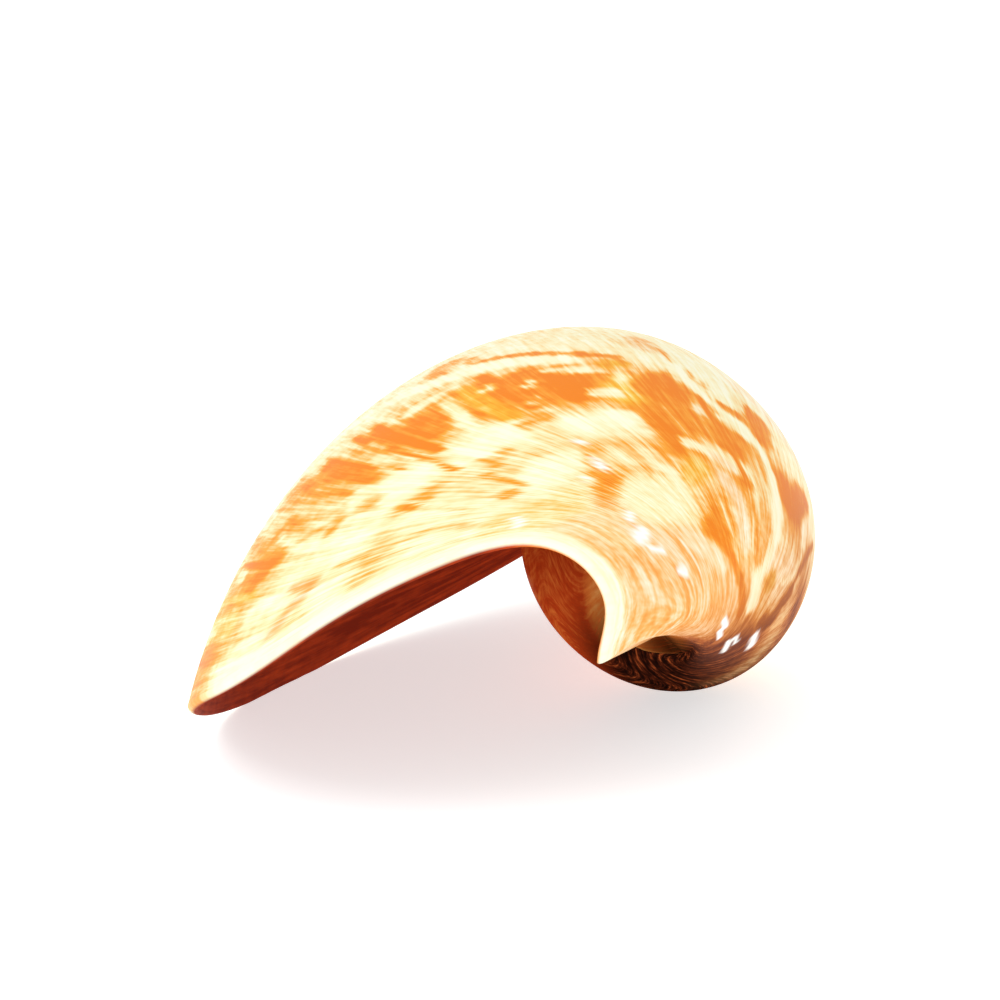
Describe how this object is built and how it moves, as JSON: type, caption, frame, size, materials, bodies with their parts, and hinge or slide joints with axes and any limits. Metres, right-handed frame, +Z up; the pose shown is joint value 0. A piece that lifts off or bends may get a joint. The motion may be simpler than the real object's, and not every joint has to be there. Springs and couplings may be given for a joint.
{
  "type": "seashell",
  "caption": "Glossy orange and cream melon shell, an empty sea-snail shell with a swollen last whorl and a wide flaring mouth, lying on its opening as an ornament",
  "frame": {"origin": "centre of the bounding box's bottom face, on the surface that the shell rests on", "axes": "+Y to the back end with the smooth first whorl, -Y to the narrow front end, +X to the body whorl's side and -X to the flaring lip's side, +Z up, aperture facing down"},
  "size_m": [0.1566, 0.1866, 0.0916],
  "materials": {
    "shell": "glossy, natural porcelain-like shell with orange growth streaks on cream"
  },
  "bodies": {
    "root": {"melon_shell": "shell"}
  },
  "joints": []
}
